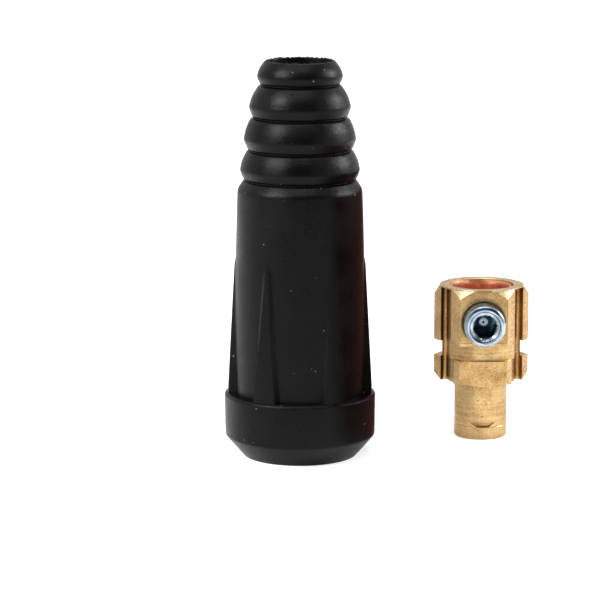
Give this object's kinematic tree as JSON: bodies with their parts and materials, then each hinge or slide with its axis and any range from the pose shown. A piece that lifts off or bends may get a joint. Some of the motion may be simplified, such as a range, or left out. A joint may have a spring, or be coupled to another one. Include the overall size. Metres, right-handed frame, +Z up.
{
  "type": "welding cable plug",
  "caption": "Welding cable plug shown apart: tapered rubber sleeve with rolled strain relief, and a hexagonal brass contact with copper liner and clamp screw.",
  "frame": {"origin": "centre of the sleeve's mouth, in the plane of its foot, which is also the floor that the contact's pin stands on", "axes": "+Z up along the sleeve from mouth to cable entry, +X from the sleeve towards the contact that stands beside it, -Y to the front, where the clamp screw points"},
  "size_m": [0.0749, 0.0483, 0.0957],
  "materials": {
    "rubber": "moulded matte rubber",
    "brass": "machined, uncoated",
    "copper": "rolled strip",
    "zinc_steel": "bright zinc plated"
  },
  "bodies": {
    "plug_parts": {"rubber_sleeve": "rubber", "brass_contact": "brass", "copper_liner": "copper"},
    "screw": {"clamp_screw": "zinc_steel"}
  },
  "joints": [
    {"name": "clamp_screw_feed", "type": "slide", "parent": "plug_parts", "child": "screw", "axis": [0, 1, 0], "range_m": [-0.0015, 0.0055], "deforming": ["copper_liner"]}
  ]
}
